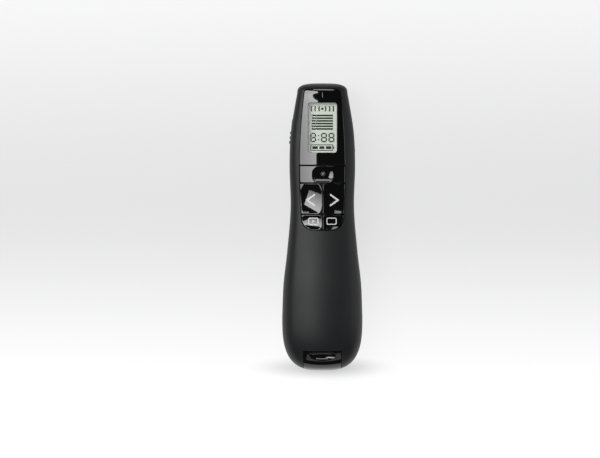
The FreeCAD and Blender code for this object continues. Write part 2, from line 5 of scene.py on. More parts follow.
import bmesh
import bpy
import numpy as np
from mathutils import Matrix, Vector
from mathutils.bvhtree import BVHTree
from mathutils.interpolate import poly_3d_calc


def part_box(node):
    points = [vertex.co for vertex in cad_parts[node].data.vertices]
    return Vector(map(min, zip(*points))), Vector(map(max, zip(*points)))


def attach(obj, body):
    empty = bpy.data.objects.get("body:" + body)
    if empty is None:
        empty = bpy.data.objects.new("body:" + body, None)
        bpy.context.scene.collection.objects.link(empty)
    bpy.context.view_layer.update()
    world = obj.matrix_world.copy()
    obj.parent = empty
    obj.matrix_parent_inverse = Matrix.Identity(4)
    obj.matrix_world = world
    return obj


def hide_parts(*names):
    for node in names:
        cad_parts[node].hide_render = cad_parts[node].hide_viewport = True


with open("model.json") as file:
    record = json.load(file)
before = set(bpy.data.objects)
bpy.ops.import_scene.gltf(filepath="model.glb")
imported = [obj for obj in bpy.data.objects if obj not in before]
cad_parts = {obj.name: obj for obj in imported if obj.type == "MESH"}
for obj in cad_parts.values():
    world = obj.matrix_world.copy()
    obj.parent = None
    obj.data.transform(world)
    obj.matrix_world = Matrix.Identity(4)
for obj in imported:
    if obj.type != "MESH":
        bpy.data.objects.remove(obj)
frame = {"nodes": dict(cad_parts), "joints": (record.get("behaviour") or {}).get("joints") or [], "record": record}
nodes = frame["nodes"]
slotOf = {part["node"]: part["material_slot"] for part in frame["record"]["subparts"]}
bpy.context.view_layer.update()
print("stage: frame loaded,", len(nodes), "nodes")

# The clicker's own frame: X to the right, Y to the laser end, Z out of the face, in mm.
# Its turn comes from the door's slide and its place from the middle of the display's glass.
glassMiddle = Vector((0.0, 45.45, 18.75))
axisOf = {joint["name"]: Vector(joint["axis"]) for joint in frame["joints"]}
alongBody = -axisOf["door_slide"].normalized()
outOfFace = Vector((1, 0, 0)).cross(alongBody)
turn = Matrix((Vector((1, 0, 0)), alongBody, outOfFace)).transposed()
glassLow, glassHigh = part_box("lcd_glass")
offset = (glassLow + glassHigh) / 2 - turn @ (glassMiddle / 1000)
toRow = Matrix.Translation(offset) @ turn.to_4x4() @ Matrix.Scale(0.001, 4)


# materials

def linear(code, alpha=1.0):
    channels = [int(code[i:i + 2], 16) / 255 for i in (1, 3, 5)]
    return (*[c / 12.92 if c <= 0.04045 else ((c + 0.055) / 1.055) ** 2.4 for c in channels], alpha)


def addNode(tree, kind, inputs=None, links=None, **settings):
    item = tree.nodes.new(kind)
    for key, value in settings.items():
        setattr(item, key, value)
    for key, value in (inputs or {}).items():
        item.inputs[key].default_value = value
    for key, source in (links or {}).items():
        tree.links.new(source, item.inputs[key])
    return item


def emptyMaterial(name):
    material = bpy.data.materials.new(name)
    material.use_nodes = True
    material.node_tree.nodes.clear()
    return material, material.node_tree


def moulded(name, look):
    material, tree = emptyMaterial(name)
    spot = addNode(tree, "ShaderNodeTexCoord").outputs["Object"]
    broad = addNode(tree, "ShaderNodeTexNoise", {"Scale": 1000 / look.get("patch", 9.0), "Detail": 3.0},
                    {"Vector": spot})
    grain = addNode(tree, "ShaderNodeTexNoise",
                    {"Scale": 1000 / look["grain"], "Detail": 4.0, "Roughness": 0.6}, {"Vector": spot})
    second = look.get("second", look["colour"])
    colour = addNode(tree, "ShaderNodeMix", {"A": linear(look["colour"]), "B": linear(second)},
                     {"Factor": broad.outputs["Fac"]}, data_type="RGBA")
    spread = look.get("spread", 0.04)
    rough = addNode(tree, "ShaderNodeMapRange",
                    {"To Min": look["rough"] - spread, "To Max": look["rough"] + spread},
                    {"Value": broad.outputs["Fac"]})
    soft = addNode(tree, "ShaderNodeBevel", {"Radius": look.get("bevel", 0.08) / 1000}, samples=4)
    bump = addNode(tree, "ShaderNodeBump", {"Strength": 1.0, "Distance": look["depth"] / 1000},
                   {"Height": grain.outputs["Fac"], "Normal": soft.outputs["Normal"]})
    # a look's glow is painted light: the surface shines in its own colour though it is no lamp
    shader = addNode(tree, "ShaderNodeBsdfPrincipled",
                     {"Metallic": look.get("metal", 0.0), "Coat Weight": look.get("coat", 0.0),
                      "Coat Roughness": look.get("coatRough", 0.03), "Sheen Weight": look.get("sheen", 0.0),
                      "Specular IOR Level": look.get("specular", 0.5), "IOR": look.get("ior", 1.5),
                      "Anisotropic": look.get("brushed", 0.0), "Emission Color": linear(look["colour"]),
                      "Emission Strength": look.get("glow", 0.0)},
                     {"Base Color": colour.outputs["Result"], "Roughness": rough.outputs["Result"],
                      "Normal": bump.outputs["Normal"]})
    addNode(tree, "ShaderNodeOutputMaterial", links={"Surface": shader.outputs["BSDF"]})
    return material


def clearPane(name, look):
    material, tree = emptyMaterial(name)
    spot = addNode(tree, "ShaderNodeTexCoord").outputs["Object"]
    haze = addNode(tree, "ShaderNodeTexNoise", {"Scale": 1000 / look["patch"], "Detail": 2.0},
                   {"Vector": spot})
    bump = addNode(tree, "ShaderNodeBump", {"Strength": 0.3, "Distance": look["depth"] / 1000},
                   {"Height": haze.outputs["Fac"]})
    weight = addNode(tree, "ShaderNodeFresnel", {"IOR": look["ior"]}, {"Normal": bump.outputs["Normal"]})
    rough = addNode(tree, "ShaderNodeMapRange", {"To Min": look["rough"], "To Max": look["rough"] + 0.03},
                    {"Value": haze.outputs["Fac"]})
    clear = addNode(tree, "ShaderNodeBsdfTransparent", {"Color": linear(look["colour"])})
    mirror = addNode(tree, "ShaderNodeBsdfGlossy", links={"Roughness": rough.outputs["Result"],
                                                         "Normal": bump.outputs["Normal"]})
    mix = addNode(tree, "ShaderNodeMixShader", links={0: weight.outputs["Fac"], 1: clear.outputs["BSDF"],
                                                     2: mirror.outputs["BSDF"]})
    addNode(tree, "ShaderNodeOutputMaterial", links={"Surface": mix.outputs["Shader"]})
    return material


looks = {
    # rubbery coat over the moulded halves: deep grey-black, a broad dim highlight and a fine even tooth
    "soft_black": ("softTouchCoat", dict(colour="#131416", second="#161719", rough=0.48, grain=0.16,
                                         depth=0.006, sheen=0.03, bevel=0.12, specular=0.36)),
    # polished injection moulding: near black with hard mirror reflections and a trace of flow waviness
    "gloss_black": ("polishedBlackMoulding", dict(colour="#050506", second="#070708", rough=0.05,
                                                  spread=0.02, grain=3.0, depth=0.002, coat=0.15,
                                                  coatRough=0.02, bevel=0.05)),
    # reflective liquid crystal cell: pale green-grey with a dull polariser film on top; its glow is painted light,
    # since the cell has no backlight
    "lcd": ("polariserFilm", dict(colour="#dcdedb", second="#d4d7d2", patch=14.0, rough=0.45, grain=0.25,
                                  depth=0.001, bevel=0.02, glow=0.22)),
    # acrylic plate that spreads the display's light: milky white
    "light_guide": ("milkyAcrylic", dict(colour="#e8e8e0", rough=0.3, grain=0.4, depth=0.002)),
    # solder mask over glass fibre: dark green and slightly wavy over the weave
    "board_green": ("solderMask", dict(colour="#0b3d20", second="#0e4a28", rough=0.28, grain=0.5,
                                       depth=0.004)),
    # moulded epoxy: matt black with a sandy tooth
    "chip_black": ("mouldedEpoxy", dict(colour="#161616", rough=0.6, grain=0.1, depth=0.006)),
    # nickel plated pressed steel: bright and faintly brushed
    "steel": ("platedSteel", dict(colour="#b9bbbe", second="#a9abae", rough=0.26, grain=0.12,
                                  depth=0.002, metal=1.0, brushed=0.4)),
    # drawn and plated can: smoother and brighter than the pressed steel
    "can": ("drawnCan", dict(colour="#c8c9cc", second="#babcc0", rough=0.17, grain=0.2, depth=0.001,
                             metal=1.0)),
    # turned brass: warm with fine turning marks
    "brass": ("turnedBrass", dict(colour="#c79a4a", second="#b98b3f", rough=0.25, grain=0.1,
                                  depth=0.002, metal=1.0, brushed=0.5)),
    # plain moulding inside: dull black
    "tray": ("plainMoulding", dict(colour="#131314", second="#161617", rough=0.5, grain=0.2, depth=0.004)),
    # shrink sleeve over the cells: dark grey and lightly glossy, with soft wrinkles
    "cell_wrap": ("shrinkSleeve", dict(colour="#2c2f33", second="#34383c", rough=0.22, grain=1.6,
                                       depth=0.01, coat=0.3)),
    # sintered weight: dull dark metal with open grain
    "tungsten": ("sinteredWeight", dict(colour="#6c6c70", rough=0.42, grain=0.08, depth=0.008, metal=1.0)),
    # moulded switch bodies: dark nylon
    "switch_cream": ("switchNylon", dict(colour="#1c1c1d", rough=0.48, grain=0.15, depth=0.004)),
    # white insulator of the plug: clean satin nylon
    "tongue": ("whiteNylon", dict(colour="#dddddb", second="#d2d2d0", rough=0.4, grain=0.2, depth=0.003)),
    # dark red acrylic of the laser's window: nearly black until light falls into it
    "red_window": ("redAcrylic", dict(colour="#2c0406", second="#380608", rough=0.07, spread=0.02, grain=2.0,
                                      depth=0.001, coat=0.3, bevel=0.05)),
    # moulded silicone keys: dense black, dull
    "rubber_key": ("mouldedSilicone", dict(colour="#202123", rough=0.58, grain=0.12, depth=0.006,
                                           sheen=0.08, bevel=0.15)),
}
panes = {
    # clear acrylic over the display, coated against glare: nearly invisible, with a faint sheen
    "window": ("coatedAcrylic", dict(colour="#f8faf7", ior=1.16, rough=0.02, patch=8.0, depth=0.001)),
    # coated lens of the laser
    "lens": ("coatedLens", dict(colour="#dfe4f2", ior=1.6, rough=0.02, patch=3.0, depth=0.001)),
}
materials = {slot: moulded(name, look) for slot, (name, look) in looks.items()}
materials.update({slot: clearPane(name, look) for slot, (name, look) in panes.items()})
# screen print on the keys: flat off-white ink
inkWhite = moulded("screenPrintInk", dict(colour="#e4e4e2", second="#dadad8", rough=0.5, grain=0.1,
                                          depth=0.002, bevel=0.01))
# the same ink, thinner and greyer
inkGrey = moulded("screenPrintInkGrey", dict(colour="#a8a9aa", second="#9c9d9e", rough=0.5, grain=0.1,
                                             depth=0.002, bevel=0.01))
# switched-on liquid crystal: dark green-black, dull under the polariser
segmentDark = moulded("darkSegments", dict(colour="#0b100b", second="#10150f", rough=0.5, grain=0.2,
                                           depth=0.001, bevel=0.01))
print("stage: materials made")


# the moulded form, as the housing was drawn

form = dict(length=132.5, parting=12.0, tailDepth=24.9, headDepth=4.8, crown=34.0, belly=30.0, restTilt=2.3,
            hip=24.9, nose=127.7, blunt=0.06)
# at each station: distance from the tail end, half width, top, rise of the belly above the resting
# line, and radius of the rounded edges
stations = (
    (24.9, 18.54, 26.4, 0.0, 8.5),
    (40.0, 17.93, 26.0, 0.15, 8.2),
    (54.3, 16.3, 25.1, 0.3, 7.0),
    (74.7, 14.66, 24.3, 1.7, 5.8),
    (95.3, 15.15, 23.95, 1.3, 5.2),
    (110.0, 14.5, 23.7, 0.0, 4.7),
    (123.5, 12.4, 23.3, 0.4, 4.2),
    (127.7, 11.6, 23.0, 0.9, 4.0),
)
# how finely the form is divided along its length and round each ring
divisions = dict(tail=30, tailPower=2.2, along=76, head=14, side=6, edge=9, crown=48, belly=40)


def measured(distance, column):
    at = [row[0] for row in stations]
    value = [row[column] for row in stations]
    last = len(at) - 1
    i = max(0, min(last - 1, sum(distance > a for a in at[1:])))

    def slope(k):
        low, high = max(k - 1, 0), min(k + 1, last)
        return (value[high] - value[low]) / (at[high] - at[low])

    span = at[i + 1] - at[i]
    t = (distance - at[i]) / span
    return ((1 + 2 * t) * (1 - t) ** 2 * value[i] + t * (1 - t) ** 2 * span * slope(i)
            + t * t * (3 - 2 * t) * value[i + 1] + t * t * (t - 1) * span * slope(i + 1))


def closing(distance, depth):
    left = min(1.0, max(0.0, 1 - (distance + form["blunt"]) / (depth + form["blunt"])))
    return max(1 - left ** 3, 1e-6) ** (1 / 3)


@functools.lru_cache(maxsize=None)
def section(distance):
    d = min(max(distance, form["hip"]), form["nose"])
    scale = 1.0
    if distance < form["hip"]:
        scale = closing(distance, form["tailDepth"])
    elif distance > form["nose"]:
        scale = closing(form["length"] - distance, form["headDepth"])
    middle = form["parting"]
    half = measured(d, 1) * scale
    top = middle + (measured(d, 2) - middle) * scale
    low = math.tan(math.radians(form["restTilt"])) * (d - form["hip"]) + measured(d, 3)
    low = middle - (middle - low) * scale
    edge, crown, belly = measured(d, 4) * scale, form["crown"] * scale, form["belly"] * scale
    centre = half - edge
    upper = top - crown + math.sqrt((crown - edge) ** 2 - centre ** 2)
    lower = low + belly - math.sqrt((belly - edge) ** 2 - centre ** 2)
    return half, top, low, edge, crown, belly, centre, upper, lower


def ringAt(distance):
    half, top, low, edge, crown, belly, centre, upper, lower = section(distance)
    lean = math.acos(centre / (crown - edge))
    sag = math.acos(centre / (belly - edge))

    def arc(x, z, radius, first, last, count):
        angles = np.linspace(first, last, count, endpoint=False)
        return [(x + radius * math.cos(a), z + radius * math.sin(a)) for a in angles]

    sides, turns = divisions["side"], divisions["edge"]
    path = [(half, z) for z in np.linspace(lower, upper, sides, endpoint=False)]
    path += arc(centre, upper, edge, 0, lean, turns)
    path += arc(0, top - crown, crown, lean, math.pi - lean, divisions["crown"])
    path += arc(-centre, upper, edge, math.pi - lean, math.pi, turns)
    path += [(-half, z) for z in np.linspace(upper, lower, sides, endpoint=False)]
    path += arc(-centre, lower, edge, math.pi, math.pi + sag, turns)
    path += arc(0, low + belly, belly, math.pi + sag, 2 * math.pi - sag, divisions["belly"])
    path += arc(centre, lower, edge, 2 * math.pi - sag, 2 * math.pi, turns)
    return path


def formMesh():
    # the whole outside as one closed mesh, in the clicker's own frame
    length, hip, nose = form["length"], form["hip"], form["nose"]
    tail, head = divisions["tail"], divisions["head"]
    places = [hip * (i / tail) ** divisions["tailPower"] for i in range(tail)]
    places += list(np.linspace(hip, nose, divisions["along"]))
    places += [length - (length - nose) * (1 - i / head) ** 2 for i in range(1, head + 1)]
    rings = [[(x, d - length / 2, z) for x, z in ringAt(float(d))] for d in places]
    count = len(rings[0])
    points = [p for ring in rings for p in ring]
    faces = []
    for i in range(len(rings) - 1):
        for j in range(count):
            k = (j + 1) % count
            faces.append((i * count + j, i * count + k, (i + 1) * count + k, (i + 1) * count + j))
    faces.append(tuple(range(count)))
    faces.append(tuple(reversed(range((len(rings) - 1) * count, len(rings) * count))))
    mesh = bpy.data.meshes.new("form")
    mesh.from_pydata(points, [], faces)
    work = bmesh.new()
    work.from_mesh(mesh)
    bmesh.ops.recalc_face_normals(work, faces=work.faces)
    work.to_mesh(mesh)
    work.free()
    return mesh


smoothForm = formMesh()
formPoints = [toRow @ v.co for v in smoothForm.vertices]
formFaces = [tuple(p.vertices) for p in smoothForm.polygons]
formTree = BVHTree.FromPolygons(formPoints, formFaces)
formNormals = [(turn @ Vector(v.normal)).normalized() for v in smoothForm.vertices]
print("stage: smooth form made,", len(formFaces), "faces")


def formNormal(point):
    spot, normal, index, away = formTree.find_nearest(point)
    ids = formFaces[index]
    if len(ids) > 4:
        return normal
    weights = poly_3d_calc([formPoints[i] for i in ids], spot)
    total = Vector((0, 0, 0))
    for i, weight in zip(ids, weights):
        total += formNormals[i] * weight
    return total.normalized()


def skinTop(x, y):
    half, top, low, edge, crown, belly, centre, upper, lower = section(round(y + form["length"] / 2, 3))
    if abs(x) <= centre * crown / (crown - edge):
        return top - crown + math.sqrt(crown ** 2 - x ** 2)
    return upper + math.sqrt(max(edge ** 2 - (abs(x) - centre) ** 2, 0.0))


# building pieces

def addPiece(name, mesh, material, body, replaced=()):
    piece = bpy.data.objects.new(name, mesh)
    bpy.context.scene.collection.objects.link(piece)
    mesh.materials.clear()
    mesh.materials.append(material)
    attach(piece, body)
    if replaced:
        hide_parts(*replaced)
    return piece


def isSkin(face, near=0.00045, alike=0.8):
    spot, normal, index, away = formTree.find_nearest(face.calc_center_median())
    return away < near and face.normal.dot(normal) > alike


def setNormals(mesh, skin):
    # faces of the outer skin take the smooth form's normals, and the rest stay crisp at their edges
    mesh.shade_smooth()
    mesh.set_sharp_from_angle(angle=math.radians(35))
    corners = [Vector(n.vector) for n in mesh.corner_normals]
    for face in mesh.polygons:
        if skin[face.index]:
            for i in face.loop_indices:
                corners[i] = formNormal(mesh.vertices[mesh.loops[i].vertex_index].co)
    mesh.normals_split_custom_set(corners)


def smoothed(nodeName, pieceName, body, step=1.3):
    # the solid's own walls and openings, with its outer skin divided and laid on the smooth form
    work = bmesh.new()
    work.from_mesh(nodes[nodeName].data)
    bmesh.ops.remove_doubles(work, verts=work.verts, dist=2e-6)
    for turnNumber in range(4):
        skin = [f for f in work.faces if isSkin(f)]
        long = list({e for f in skin for e in f.edges if e.calc_length() > step / 1000})
        if not long:
            break
        bmesh.ops.subdivide_edges(work, edges=long, cuts=1)
        bmesh.ops.triangulate(work, faces=[f for f in work.faces if len(f.verts) > 3])
    skin = [f for f in work.faces if isSkin(f)]
    for vert in {v for f in skin for v in f.verts}:
        spot, normal, index, away = formTree.find_nearest(vert.co)
        # the flats that it rests on stay in the table's plane
        vert.co = (spot.x, spot.y, max(spot.z, 0.0))
    work.normal_update()
    flags = [isSkin(f, alike=0.6) for f in work.faces]
    mesh = bpy.data.meshes.new(pieceName)
    work.to_mesh(mesh)
    work.free()
    setNormals(mesh, flags)
    print("stage:", pieceName, len(mesh.polygons), "faces")
    return addPiece(pieceName, mesh, materials[slotOf[nodeName]], body, (nodeName,))


# outlines in the face, as closed lists of points

field = dict(half=10.7, middle=29.0, top=63.7, topHalf=8.3, end=-1.8, endHalf=9.3, rise=0.45,
             corner=1.6, endCorner=5.6)
window = dict(half=6.6, low=34.0, high=56.9, corner=1.1)
breaks = dict(panel=28.1, laser=20.0, pair=5.65, gap=0.2)


def flankCircle():
    points = ((field["topHalf"], field["top"] - field["rise"]), (field["half"], field["middle"]),
              (field["endHalf"], field["end"]))
    (x1, y1), (x2, y2), (x3, y3) = points
    d = 2 * (x1 * (y2 - y3) + x2 * (y3 - y1) + x3 * (y1 - y2))
    a, b, c = x1 ** 2 + y1 ** 2, x2 ** 2 + y2 ** 2, x3 ** 2 + y3 ** 2
    cx = (a * (y2 - y3) + b * (y3 - y1) + c * (y1 - y2)) / d
    cy = (a * (x3 - x2) + b * (x1 - x3) + c * (x2 - x1)) / d
    return cx, cy, math.hypot(x1 - cx, y1 - cy)


flankX, flankY, flankRadius = flankCircle()


def flank(y, inset):
    return flankX + math.sqrt(flankRadius ** 2 - (y - flankY) ** 2) - inset


def rounded(left, right, low, high, radii, bow=0.0):
    # a four sided outline with round corners, listed low right, high right, high left, low left
    lowRight, highRight, highLeft, lowLeft = radii
    path = []

    def corner(bound, side, level, up, radius, first):
        y = level + up * radius
        x = bound(y) - side * radius
        for a in np.linspace(first, first + math.pi / 2, 13):
            path.append((x + radius * math.cos(a), y + radius * math.sin(a)))

    def edge(bound, start, stop):
        for y in np.linspace(start, stop, 26)[1:-1]:
            path.append((bound(y), y))

    corner(right, 1, low, 1, lowRight, -math.pi / 2)
    edge(right, low + lowRight, high - highRight)
    corner(right, 1, high, -1, highRight, 0)
    if bow:
        x = right(high) - highRight
        for share in np.linspace(1, -1, 26)[1:-1]:
            path.append((x * share, high + bow * (1 - share ** 2)))
    corner(left, -1, high, -1, highLeft, math.pi / 2)
    edge(left, high - highLeft, low + lowLeft)
    corner(left, -1, low, 1, lowLeft, math.pi)
    return np.array(path)


def seenFrom(centre, outline, angles):
    # the outline's points at even angles round a centre
    start = outline - centre
    along = np.roll(outline, -1, axis=0) - outline
    found = []
    for a in angles:
        ray = np.array((math.cos(a), math.sin(a)))
        cross = ray[0] * along[:, 1] - ray[1] * along[:, 0]
        cross[np.abs(cross) < 1e-12] = 1e-12
        reach = (start[:, 0] * along[:, 1] - start[:, 1] * along[:, 0]) / cross
        share = (start[:, 0] * ray[1] - start[:, 1] * ray[0]) / cross
        good = (reach > 0) & (share >= -1e-9) & (share <= 1 + 1e-9)
        found.append(centre + ray * reach[good].max())
    return np.array(found)


def fromEdge(points, outline):
    start = outline
    along = np.roll(outline, -1, axis=0) - outline
    square = (along ** 2).sum(1)
    square[square < 1e-12] = 1e-12
    best = np.full(len(points), 1e9)
    for i, p in enumerate(points):
        t = np.clip(((p - start) * along).sum(1) / square, 0, 1)
        best[i] = np.sqrt((((start + along * t[:, None]) - p) ** 2).sum(1)).min()
    return best


def roundOff(distance, radius):
    inside = np.clip(radius - distance, 0, radius)
    return radius - np.sqrt(np.maximum(radius ** 2 - inside ** 2, 0))


def crowned(name, outline, height, depth, edgeRadius, hole=None, holeRadius=0.12, count=320):
    # a moulded cap: its top follows a height, its rim is rounded over and its wall goes down by depth
    middle = outline.mean(0) if hole is None else hole.mean(0)
    angles = np.linspace(0, 2 * math.pi, count, endpoint=False)
    outside = seenFrom(middle, outline, angles)
    if hole is None:
        inside = np.repeat(middle[None, :], count, axis=0)
        shares = [0.02] + list(np.linspace(0.07, 0.91, 15)) + [0.935, 0.955, 0.97, 0.98, 0.988, 0.995, 1.0]
    else:
        inside = seenFrom(middle, hole, angles)
        shares = [0, 0.01, 0.025, 0.05] + list(np.linspace(0.1, 0.9, 12)) + [0.935, 0.96, 0.98, 0.992, 1.0]
    points, faces = [], []
    for share in shares:
        ring = inside + (outside - inside) * share
        drop = roundOff(fromEdge(ring, outline) if share < 1 else np.zeros(count), edgeRadius)
        if hole is not None:
            drop += roundOff(fromEdge(ring, hole) if share > 0 else np.zeros(count), holeRadius)
        points += [(x, y, height(x, y) - d) for (x, y), d in zip(ring, drop)]

    def band(first, second):
        for j in range(count):
            k = (j + 1) % count
            faces.append((first + j, second + j, second + k, first + k))

    for i in range(len(shares) - 1):
        band(i * count, (i + 1) * count)
    rim = (len(shares) - 1) * count
    foot = len(points)
    points += [(x, y, z - depth) for x, y, z in points[rim:rim + count]]
    band(rim, foot)
    if hole is None:
        faces.append(tuple(reversed(range(count))))
        faces.append(tuple(range(foot, foot + count)))
    else:
        sill = len(points)
        points += [(x, y, z - depth) for x, y, z in points[:count]]
        band(foot, sill)
        band(sill, 0)
    mesh = bpy.data.meshes.new(name)
    mesh.from_pydata(points, [], faces)
    mesh.transform(toRow)
    work = bmesh.new()
    work.from_mesh(mesh)
    bmesh.ops.recalc_face_normals(work, faces=work.faces)
    work.to_mesh(mesh)
    work.free()
    mesh.shade_smooth()
    mesh.set_sharp_from_angle(angle=math.radians(50))
    return mesh


# housing

smoothed("top_shell", "housing_upper", "clicker")
smoothed("bottom_shell", "housing_lower", "clicker")
smoothed("battery_door", "door_skin", "door")

# face panel and display window

panel = dict(fit=0.1, tailCorner=0.3, depth=1.5, edge=0.25, holeEdge=0.1, count=480, paneFit=0.02,
             paneEdge=0.12)


def makePanel():
    fit, corner, tailCorner = panel["fit"], field["corner"], panel["tailCorner"]
    hole = rounded(lambda y: -window["half"], lambda y: window["half"], window["low"], window["high"],
                   [window["corner"]] * 4)
    outline = rounded(lambda y: -flank(y, fit), lambda y: flank(y, fit), breaks["panel"] + breaks["gap"] / 2,
                      field["top"] - field["rise"] - fit, (tailCorner, corner, corner, tailCorner),
                      field["rise"])
    mesh = crowned("panel_gloss", outline, skinTop, panel["depth"], panel["edge"], hole, panel["holeEdge"],
                   panel["count"])
    addPiece("panel_gloss", mesh, materials["gloss_black"], "clicker", ("face_panel",))
    slack = panel["paneFit"]
    pane = rounded(lambda y: slack - window["half"], lambda y: window["half"] - slack, window["low"] + slack,
                   window["high"] - slack, [window["corner"]] * 4)
    mesh = crowned("window_pane", pane, skinTop, panel["depth"], panel["paneEdge"])
    addPiece("window_pane", mesh, materials["window"], "clicker", ("display_window",))


makePanel()
print("stage: panel and window made")

# keys: each is a slice of the form with a bowl for the thumb

keys = dict(edge=0.32, depth=2.4, corner=0.45)
bowls = {
    "laser": dict(x=0.35, y=23.75, wide=4.75, long=3.95, deep=0.78, shape=2.6),
    "back": dict(x=-5.3, y=12.9, wide=5.5, long=8.4, deep=1.0, shape=2.0),
    "forward": dict(x=5.3, y=12.9, wide=5.5, long=8.4, deep=1.0, shape=2.0),
    "slideshow": dict(x=-4.9, y=2.3, wide=5.1, long=4.2, deep=0.6, shape=2.0),
    "blank": dict(x=4.9, y=2.3, wide=5.1, long=4.2, deep=0.6, shape=2.0),
}


def keyHeight(key):
    bowl = bowls[key]

    def height(x, y):
        reach = (abs((x - bowl["x"]) / bowl["wide"]) ** bowl["shape"]
                 + abs((y - bowl["y"]) / bowl["long"]) ** bowl["shape"])
        return skinTop(x, y) - bowl["deep"] * max(0.0, 1 - reach)

    return height


def keyOutline(key):
    gap, corner = breaks["gap"], keys["corner"]
    if key == "laser":
        return rounded(lambda y: -flank(y, gap), lambda y: flank(y, gap), breaks["laser"] + gap / 2,
                       breaks["panel"] - gap / 2, [corner] * 4)
    if key in ("back", "forward"):
        low, high, radii = breaks["pair"] + gap / 2, breaks["laser"] - gap / 2, [corner] * 4
    else:
        low, high = field["end"] + gap, breaks["pair"] - gap / 2
        radii = [field["endCorner"], corner, corner, corner]
    outline = rounded(lambda y: gap / 2, lambda y: flank(y, gap), low, high, radii)
    if key in ("back", "slideshow"):
        outline = outline[::-1] * np.array((-1, 1))
    return outline


for key in bowls:
    mesh = crowned(f"{key}_cap", keyOutline(key), keyHeight(key), keys["depth"], keys["edge"])
    addPiece(f"{key}_cap", mesh, materials["gloss_black"], f"{key}_button", (f"{key}_key",))
print("stage: keys made")


# printed marks

def strip(path, width, height, lift, closed=False):
    dense = []
    count = len(path)
    for i in range(count if closed else count - 1):
        a, b = np.array(path[i], float), np.array(path[(i + 1) % count], float)
        pieces = max(1, int(np.linalg.norm(b - a) / 0.3))
        dense += [a + (b - a) * k / pieces for k in range(pieces)]
    if not closed:
        dense.append(np.array(path[-1], float))
    total = len(dense)
    points, faces = [], []
    for i, p in enumerate(dense):
        before = dense[i - 1] if closed or i > 0 else p - (dense[1] - p)
        after = dense[(i + 1) % total] if closed or i < total - 1 else p + (p - dense[i - 1])
        d1, d2 = (p - before) / np.linalg.norm(p - before), (after - p) / np.linalg.norm(after - p)
        side = np.array((-d1[1] - d2[1], d1[0] + d2[0]))
        side /= np.linalg.norm(side)
        reach = width / 2 / max(0.4, side @ np.array((-d1[1], d1[0])))
        for s in (-1, 0, 1):
            x, y = p + side * reach * s
            points.append((x, y, height(x, y) + lift))
    for i in range(total if closed else total - 1):
        k = (i + 1) % total
        for s in (0, 1):
            faces.append((i * 3 + s, k * 3 + s, k * 3 + s + 1, i * 3 + s + 1))
    return points, faces


def filled(path, height, lift):
    return [(x, y, height(x, y) + lift) for x, y in path], [tuple(range(len(path)))]


def printed(name, shapes, material, body):
    points, faces = [], []
    for somePoints, someFaces in shapes:
        base = len(points)
        points += somePoints
        faces += [tuple(i + base for i in face) for face in someFaces]
    mesh = bpy.data.meshes.new(name)
    mesh.from_pydata(points, [], faces)
    mesh.transform(toRow)
    work = bmesh.new()
    work.from_mesh(mesh)
    bmesh.ops.recalc_face_normals(work, faces=work.faces)
    flip = [f for f in work.faces if f.normal.dot(outOfFace) < 0]
    bmesh.ops.reverse_faces(work, faces=flip)
    work.to_mesh(mesh)
    work.free()
    mesh.shade_smooth()
    return addPiece(name, mesh, material, body)


def ringPath(x, y, radius, count=24, first=0.0, last=2 * math.pi, closed=True):
    angles = np.linspace(first, last, count, endpoint=not closed)
    return [(x + radius * math.cos(a), y + radius * math.sin(a)) for a in angles]


def framePath(left, right, low, high, corner):
    return [tuple(p) for p in rounded(lambda y: left, lambda y: right, low, high, [corner] * 4)[::3]]


marks = dict(lift=0.03, chevronInner=3.45, chevronOuter=7.1, chevronY=12.26, chevronHalf=2.6,
             chevronWidth=0.78, iconInner=2.05, iconOuter=6.3, iconLow=1.16, iconHigh=3.98, iconLine=0.42,
             iconCorner=0.55, playBack=0.5, playTip=0.75, playHalf=0.68, laserX=0.2, laserY=24.3,
             laserDot=0.36, rays=8, rayInner=0.62, rayOuter=1.05, rayWidth=0.14, tickHigh=61.7, tickLow=59.3,
             tickWidth=0.16)


def makeMarks():
    lift = marks["lift"]
    for key, side in (("back", -1), ("forward", 1)):
        path = [(side * marks["chevronInner"], marks["chevronY"] + marks["chevronHalf"]),
                (side * marks["chevronOuter"], marks["chevronY"]),
                (side * marks["chevronInner"], marks["chevronY"] - marks["chevronHalf"])]
        printed(f"{key}_chevron", [strip(path, marks["chevronWidth"], keyHeight(key), lift)], inkWhite,
                f"{key}_button")
    for key, side in (("slideshow", -1), ("blank", 1)):
        ends = sorted((side * marks["iconInner"], side * marks["iconOuter"]))
        box = framePath(*ends, marks["iconLow"], marks["iconHigh"], marks["iconCorner"])
        shapes = [strip(box, marks["iconLine"], keyHeight(key), lift, True)]
        if key == "slideshow":
            x, y = sum(ends) / 2, (marks["iconLow"] + marks["iconHigh"]) / 2
            back, tip, half = marks["playBack"], marks["playTip"], marks["playHalf"]
            play = [(x - back, y - half), (x + tip, y), (x - back, y + half)]
            shapes.append(filled(play, keyHeight(key), lift))
        printed(f"{key}_icon", shapes, inkWhite, f"{key}_button")
    height = keyHeight("laser")
    x, y = marks["laserX"], marks["laserY"]
    shapes = [filled(ringPath(x, y, marks["laserDot"]), height, lift)]
    for a in np.linspace(0, 2 * math.pi, marks["rays"], endpoint=False):
        ends = (marks["rayInner"], marks["rayOuter"])
        ray = [(x + reach * math.cos(a), y + reach * math.sin(a)) for reach in ends]
        shapes.append(strip(ray, marks["rayWidth"], height, lift))
    printed("laser_icon", shapes, inkGrey, "laser_button")
    tick = strip([(0.0, marks["tickHigh"]), (0.0, marks["tickLow"])], marks["tickWidth"], skinTop, lift)
    printed("panel_tick", [tick], inkGrey, "clicker")


makeMarks()


# display

